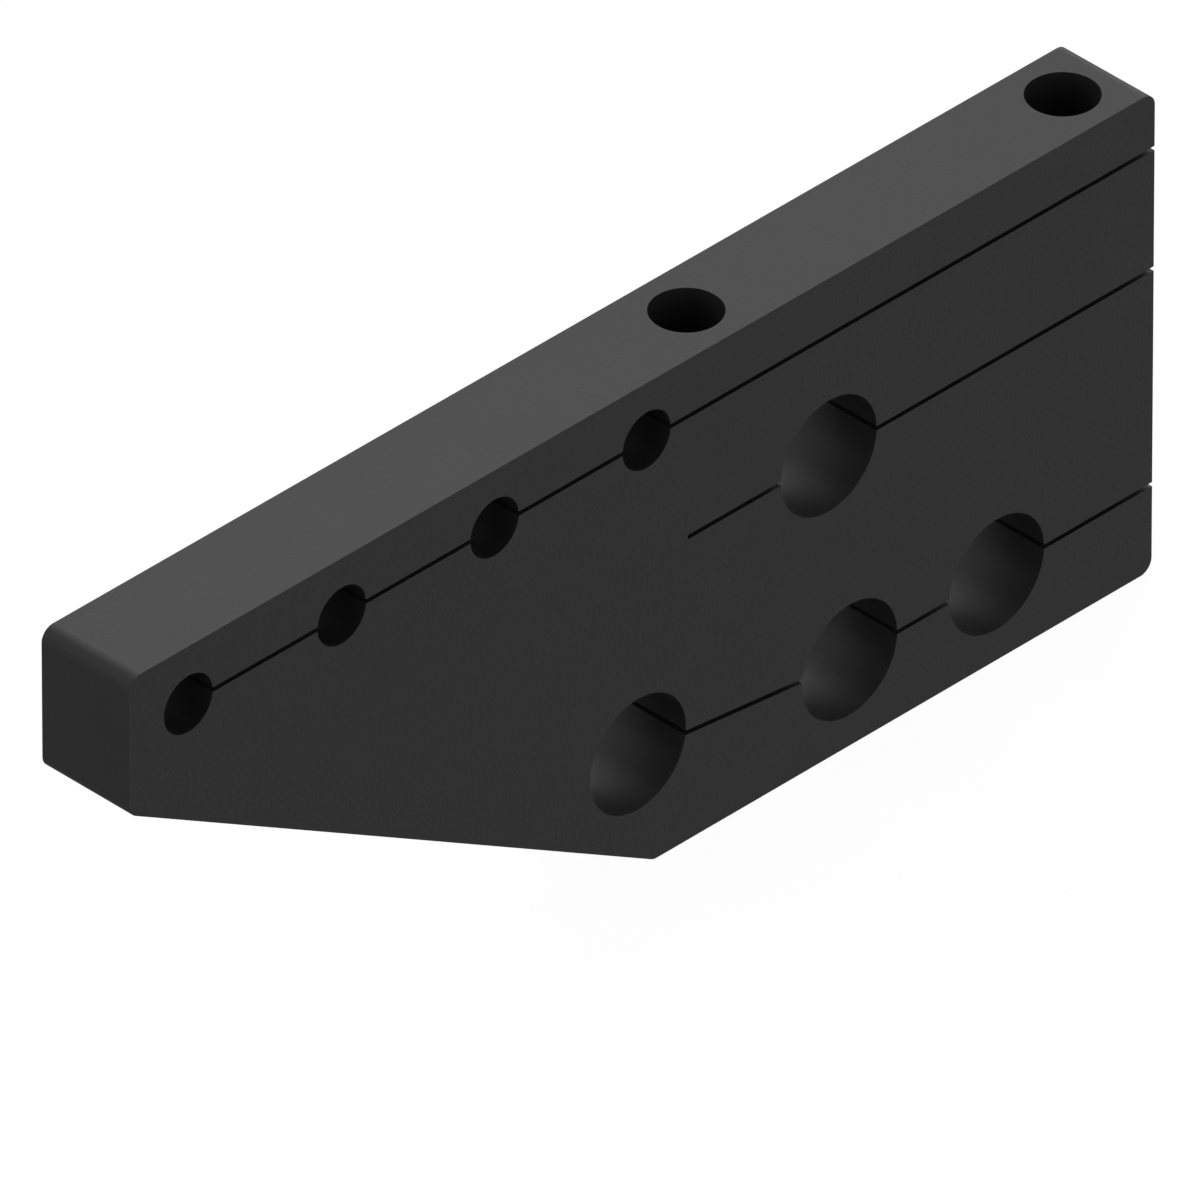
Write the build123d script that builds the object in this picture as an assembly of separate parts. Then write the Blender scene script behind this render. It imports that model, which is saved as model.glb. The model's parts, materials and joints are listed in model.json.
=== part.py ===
from build123d import *

import math
import os

# A one-piece block clamp for four small and four large tubes or rods. Sizes are in millimetres.
# The block stands on its seat with +Z up. +X points to the square end, where the clamping slits open.
# The origin lies on the seat's plane, in the middle of the block's length and thickness.

# Block: a bar of one thickness, square at one end and tapered from below towards the other
thickness = 23.0
height = 110.0
tip_height = 30.6  # what is left of the height at the tapered end
corner_radius = 3.0  # on the corners that run through the thickness

# Two clamping bolts, which run down from the top to the seat in the middle of the thickness
bolt_hole_diameter = 14.7
bolt_edge_distance = 13.0  # outer bolt to the square end
bolt_spacing = 100.0

# Slits, which part the block into leaves that the bolts pull together
slit_width = 1.0
middle_slit_past_bolt = 11.1  # from the inner bolt to the middle slit's blind end

# Row of small bores under the top, one pitch apart, on the upper slit
small_bore_diameter = 12.7
small_bore_count = 4
small_bore_pitch = 40.0
small_bore_drop = 13.0  # below the top
small_bore_to_bolt = 22.0  # last small bore to the inner bolt
tip_margin = 15.4  # first small bore to the tapered end

# Large bores: one on the middle slit and three on the lower slit
large_bore_diameter = 25.4
middle_bore_drop = 40.6  # below the top
middle_bore_to_bolt = 26.3  # to the inner bolt
outer_bore_to_bolt = 28.7  # to the outer bolt
inner_bore_to_bolt = 32.0  # to the inner bolt
lower_bore_rise = 19.8  # outer and inner bore above the seat
hinge_bore_past_bolt = 24.2  # beyond the inner bolt, where the lower leaf hinges
hinge_bore_rise = 26.3  # above the seat
hinge_wall = 8.0  # left between the hinge bore and the slanted face

# Length and the places along it, which all follow from the chain of bores and bolts
small_row_length = (small_bore_count - 1) * small_bore_pitch
length = tip_margin + small_row_length + small_bore_to_bolt + bolt_spacing + bolt_edge_distance
square_end = length / 2
tip_end = -length / 2
outer_bolt = square_end - bolt_edge_distance
inner_bolt = outer_bolt - bolt_spacing

# Bore centres in the profile, each as (along X, above the seat)
small_row_height = height - small_bore_drop
small_bores = [
    (tip_end + tip_margin + number * small_bore_pitch, small_row_height)
    for number in range(small_bore_count)
]
middle_bore = (inner_bolt + middle_bore_to_bolt, height - middle_bore_drop)
outer_bore = (outer_bolt - outer_bore_to_bolt, lower_bore_rise)
inner_bore = (inner_bolt + inner_bore_to_bolt, lower_bore_rise)
hinge_bore = (inner_bolt - hinge_bore_past_bolt, hinge_bore_rise)
large_bores = [middle_bore, outer_bore, inner_bore, hinge_bore]


def seat_start():
    """Where the slanted face meets the seat: it drops from the tapered end and clears the hinge bore."""
    run = hinge_bore[0] - tip_end
    rise = height - tip_height - hinge_bore[1]
    clearance = large_bore_diameter / 2 + hinge_wall
    slope = math.atan2(rise, run) + math.asin(clearance / math.hypot(run, rise))
    return tip_end + (height - tip_height) / math.tan(slope)


def outline():
    """The side view of the solid block, with its five corners rounded."""
    corners = [
        (tip_end, height - tip_height),
        (tip_end, height),
        (square_end, height),
        (square_end, 0),
        (seat_start(), 0),
    ]
    face = make_face(Polyline(*corners, close=True))
    return fillet(face.vertices(), corner_radius)


def slit(*centres):
    """A slit through bore centres, open at the square end on the level of the first one."""
    mouth = (square_end + slit_width, centres[0][1])
    return trace(Polyline(mouth, *centres), slit_width)


def profile():
    face = outline()
    for centre in small_bores:
        face -= Pos(*centre) * Circle(small_bore_diameter / 2)
    for centre in large_bores:
        face -= Pos(*centre) * Circle(large_bore_diameter / 2)
    blind_end = (inner_bolt - middle_slit_past_bolt, middle_bore[1])
    face -= slit(small_bores[0])
    face -= slit(blind_end)
    face -= slit(outer_bore, inner_bore, hinge_bore)
    return face


def clamp_block():
    block = extrude(Plane.XZ * profile(), amount=thickness / 2, both=True)
    for along in (outer_bolt, inner_bolt):
        block -= Pos(along, 0, height / 2) * Cylinder(bolt_hole_diameter / 2, height)
    return block


os.makedirs("parts", exist_ok=True)
export_step(clamp_block(), "parts/clamp_block.step")
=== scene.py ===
import json
import math

import bmesh
import bpy
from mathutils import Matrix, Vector

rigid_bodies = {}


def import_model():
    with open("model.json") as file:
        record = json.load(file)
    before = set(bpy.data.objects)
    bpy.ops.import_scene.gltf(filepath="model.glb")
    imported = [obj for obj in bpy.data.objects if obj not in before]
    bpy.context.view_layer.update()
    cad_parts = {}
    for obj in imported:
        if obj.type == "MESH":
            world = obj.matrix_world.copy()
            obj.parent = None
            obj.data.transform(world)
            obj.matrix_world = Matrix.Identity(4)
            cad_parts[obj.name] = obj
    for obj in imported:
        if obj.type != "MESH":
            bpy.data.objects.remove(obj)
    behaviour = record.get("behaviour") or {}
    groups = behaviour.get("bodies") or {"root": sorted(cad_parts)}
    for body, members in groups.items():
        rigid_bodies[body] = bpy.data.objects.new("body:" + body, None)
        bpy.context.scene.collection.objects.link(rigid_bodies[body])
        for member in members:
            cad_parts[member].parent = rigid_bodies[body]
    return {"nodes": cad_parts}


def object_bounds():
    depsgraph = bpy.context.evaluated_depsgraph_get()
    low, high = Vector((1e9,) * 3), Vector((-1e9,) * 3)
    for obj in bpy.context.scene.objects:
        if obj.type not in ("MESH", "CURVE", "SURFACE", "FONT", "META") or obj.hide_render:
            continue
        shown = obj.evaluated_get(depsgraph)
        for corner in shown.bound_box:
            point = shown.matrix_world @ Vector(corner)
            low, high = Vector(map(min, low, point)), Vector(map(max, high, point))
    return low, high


# Blender starts with a cube, a light and a camera of its own
for leftover in list(bpy.data.objects):
    bpy.data.objects.remove(leftover)

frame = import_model()
cad_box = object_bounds()
block = frame["nodes"]["clamp_block"]
block_middle = (cad_box[0] + cad_box[1]) / 2

# Lengths are in metres, angles in degrees and colours linear. The block stands at the origin with +Z up.
# Azimuth 0 lies straight in front of the bored side, towards -Y. Azimuth 90 lies past the square end,
# towards +X.
MM = 0.001

# Camera: an isometric view through a very long lens from far away, because the photo has no perspective
VIEW_AZIMUTH = -45.0
VIEW_ELEVATION = math.degrees(math.atan(math.sqrt(0.5)))
LENS = 1600.0
SENSOR = 36.0
PHOTO_SIDE = 1200  # pixels
AXIS_PIXEL = 0.2289 * MM  # what a pixel of the photo spans along each of the block's axes
ISOMETRIC_SHORTENING = math.sqrt(2 / 3)  # of lengths along those axes
FRAME_WIDTH = PHOTO_SIDE * AXIS_PIXEL * ISOMETRIC_SHORTENING
AIM_RIGHT = -0.41 * MM  # from the middle of the block to the middle of the frame
AIM_UP = -0.09 * MM

# Light: one dome round everything, dark but for soft glowing patches. Each is (azimuth, elevation, reach,
# radiance): where its middle is, how far from there it has faded out, and how bright its middle is.
# The comment beside it says what it lights.
PATCHES = [
    (140.0, 55.0, 50.0, 0.75),  # key, high behind the right: the top and the floors of the bores
    (155.0, 30.0, 36.0, 0.85),  # behind the right: the same places, and the back
    (120.0, 15.0, 24.0, 1.5),  # low behind the right: the top, the back and the square end
    (-125.0, 35.0, 36.0, 0.75),  # behind the left: the rounded corner and the right of each large bore
    (-125.0, 10.0, 36.0, 0.15),  # level behind the left: the tapered end and the tops of the large bores
    (-95.0, -15.0, 36.0, 0.95),  # left: the tapered end
    (170.0, -55.0, 50.0, 0.25),  # from below, behind: the lower edge of the tapered end
    (65.0, -15.0, 36.0, 1.05),  # right: the bored side and the square end
    (-5.0, 10.0, 50.0, 0.65),  # front: the bored side, the small bores and the bolt holes
]
DOME_RADIUS = 30.0
DOME_DIVISIONS = 2

# Floor: with the dome's light on it, it is just white, and a contact shadow barely shows
FLOOR_HALF = 40.0
FLOOR_TONE = (0.1, 0.1, 0.1, 1.0)
FLOOR_GLOW = 0.97
WHITE = (1.0, 1.0, 1.0, 1.0)

# Plastic: faint clouds in its tone, a fine moulded grain and a cutter's fine lines
DARK_TONE = (0.0335, 0.0335, 0.0345, 1.0)
LIGHT_TONE = (0.0365, 0.0365, 0.0375, 1.0)
CLOUD_SCALE = 45.0  # clouds to the metre
CLOUD_DETAIL = 3.0
GRAIN_SCALE = 1600.0  # grains to the metre
GRAIN_HEIGHT = 0.030 * MM
CUT_LINE_SCALES = (12.0, 2600.0, 12.0)  # lines to the metre along X, Y and Z
CUT_LINE_HEIGHT = 0.010 * MM
FINE_DETAIL = 2.0  # of the grain and the lines
ROUGHNESS = 0.5
ROUGHNESS_SPREAD = 0.03
NOISE_LOW = 0.3  # Blender's noise lies nearly all between these two
NOISE_HIGH = 0.7


def direction(azimuth, elevation):
    """The unit vector from the block towards an azimuth and an elevation."""
    turn, rise = math.radians(azimuth), math.radians(elevation)
    return Vector((math.sin(turn) * math.cos(rise), -math.cos(turn) * math.cos(rise), math.sin(rise)))


def add_camera():
    """The photo's viewpoint, and the photo's frame at the middle of the block."""
    back = direction(VIEW_AZIMUTH, VIEW_ELEVATION)
    right = direction(VIEW_AZIMUTH + 90.0, 0.0)
    up = back.cross(right)
    data = bpy.data.cameras.new("camera")
    data.lens = LENS
    data.sensor_width = SENSOR
    distance = FRAME_WIDTH * LENS / SENSOR
    data.clip_end = distance + 2 * FLOOR_HALF
    camera = bpy.data.objects.new("camera", data)
    bpy.context.scene.collection.objects.link(camera)
    camera.location = block_middle + right * AIM_RIGHT + up * AIM_UP + back * distance
    camera.rotation_euler = back.to_track_quat("Z", "Y").to_euler()
    bpy.context.scene.camera = camera


def node(tree, kind, inputs=None, **settings):
    """A shader node with its settings, and with each of these inputs either linked or given a value."""
    made = tree.nodes.new("ShaderNode" + kind)
    for name, value in settings.items():
        setattr(made, name, value)
    for name, value in (inputs or {}).items():
        if isinstance(value, bpy.types.NodeSocket):
            tree.links.new(value, made.inputs[name])
        else:
            made.inputs[name].default_value = value
    return made


def noise(tree, place, scale, detail):
    """A noise, which lies nearly all between NOISE_LOW and NOISE_HIGH."""
    return node(tree, "TexNoise", {"Vector": place, "Scale": scale, "Detail": detail}).outputs["Fac"]


def spread(tree, value, low, high):
    """A noise, stretched to run from low to high."""
    return node(tree, "MapRange", {
        "Value": value, "From Min": NOISE_LOW, "From Max": NOISE_HIGH, "To Min": low, "To Max": high,
    }).outputs["Result"]


def glowing_patches():
    """The dome's material: each patch is brightest in its middle and fades out smoothly."""
    material = bpy.data.materials.new("light_dome")
    material.use_nodes = True
    tree = material.node_tree
    tree.nodes.clear()
    place = node(tree, "TexCoord").outputs["Object"]
    outwards = node(tree, "VectorMath", {0: place}, operation="NORMALIZE").outputs["Vector"]
    total = 0.0
    for azimuth, elevation, reach, radiance in PATCHES:
        middle = direction(azimuth, elevation)
        nearness = node(tree, "VectorMath", {0: outwards, 1: middle}, operation="DOT_PRODUCT")
        patch = node(tree, "MapRange", {
            "Value": nearness.outputs["Value"],
            "From Min": math.cos(math.radians(reach)), "From Max": 1.0, "To Max": radiance,
        }, interpolation_type="SMOOTHSTEP")
        total = node(tree, "Math", {0: patch.outputs["Result"], 1: total}, operation="ADD").outputs["Value"]
    emission = node(tree, "Emission", {"Strength": total})
    node(tree, "OutputMaterial", {"Surface": emission.outputs["Emission"]})
    material.cycles.emission_sampling = "NONE"  # bounced rays find so large a light as smoothly, and faster
    return material


def add_dome():
    """The only light. The camera doesn't see it."""
    mesh = bpy.data.meshes.new("light_dome")
    ball = bmesh.new()
    bmesh.ops.create_icosphere(ball, subdivisions=DOME_DIVISIONS, radius=DOME_RADIUS)
    ball.to_mesh(mesh)
    ball.free()
    mesh.materials.append(glowing_patches())
    dome = bpy.data.objects.new("light_dome", mesh)
    bpy.context.scene.collection.objects.link(dome)
    dome.visible_camera = False
    dome.visible_shadow = False


def add_backdrop():
    """A white background, which throws no light on the block."""
    world = bpy.data.worlds.new("backdrop")
    bpy.context.scene.world = world
    world.use_nodes = True
    world.node_tree.nodes["Background"].inputs["Color"].default_value = WHITE
    for rays in ("diffuse", "glossy", "transmission", "scatter"):
        setattr(world.cycles_visibility, rays, False)


def add_floor():
    """A white floor, which throws neither light nor shadow on the block."""
    corners = [(x * FLOOR_HALF, y * FLOOR_HALF, 0.0) for x, y in ((-1, -1), (1, -1), (1, 1), (-1, 1))]
    mesh = bpy.data.meshes.new("floor")
    mesh.from_pydata(corners, [], [(0, 1, 2, 3)])
    floor = bpy.data.objects.new("floor", mesh)
    bpy.context.scene.collection.objects.link(floor)
    for rays in ("diffuse", "glossy", "transmission", "shadow"):
        setattr(floor, "visible_" + rays, False)

    material = bpy.data.materials.new("floor")
    material.use_nodes = True
    shader = material.node_tree.nodes["Principled BSDF"]
    shader.inputs["Base Color"].default_value = FLOOR_TONE
    shader.inputs["Roughness"].default_value = 1.0
    shader.inputs["Specular IOR Level"].default_value = 0.0
    shader.inputs["Emission Color"].default_value = WHITE
    shader.inputs["Emission Strength"].default_value = FLOOR_GLOW
    mesh.materials.append(material)


def satin_plastic():
    """Black engineering plastic with a satin skin: faintly cloudy, fine in grain, and cut in fine lines.

    The cutter's lines lie across Y, so they run lengthwise on the top and seat, and as rings in the cross
    bores. The bored sides keep their moulded skin, because Y is the same all over each of them.
    """
    material = bpy.data.materials.new("satin_black_plastic")
    material.use_nodes = True
    tree = material.node_tree
    place = node(tree, "TexCoord").outputs["Object"]

    cloud = noise(tree, place, CLOUD_SCALE, CLOUD_DETAIL)
    tone = node(tree, "ValToRGB", {"Fac": spread(tree, cloud, 0.0, 1.0)})
    tone.color_ramp.elements[0].color = DARK_TONE
    tone.color_ramp.elements[1].color = LIGHT_TONE

    grain = noise(tree, place, GRAIN_SCALE, FINE_DETAIL)
    polish = spread(tree, grain, ROUGHNESS - ROUGHNESS_SPREAD, ROUGHNESS + ROUGHNESS_SPREAD)
    skin = node(tree, "Bump", {"Height": grain, "Distance": GRAIN_HEIGHT}).outputs["Normal"]

    stretched = node(tree, "VectorMath", {0: place, 1: CUT_LINE_SCALES}, operation="MULTIPLY")
    lines = noise(tree, stretched.outputs["Vector"], 1.0, FINE_DETAIL)  # scaled by the stretch already
    cut = node(tree, "Bump", {"Height": lines, "Distance": CUT_LINE_HEIGHT, "Normal": skin})

    shader = tree.nodes["Principled BSDF"]
    tree.links.new(tone.outputs["Color"], shader.inputs["Base Color"])
    tree.links.new(polish, shader.inputs["Roughness"])
    tree.links.new(cut.outputs["Normal"], shader.inputs["Normal"])
    return material


block.data.materials.clear()
block.data.materials.append(satin_plastic())

add_camera()
add_dome()
add_backdrop()
add_floor()
bpy.context.scene.view_settings.view_transform = "Standard"
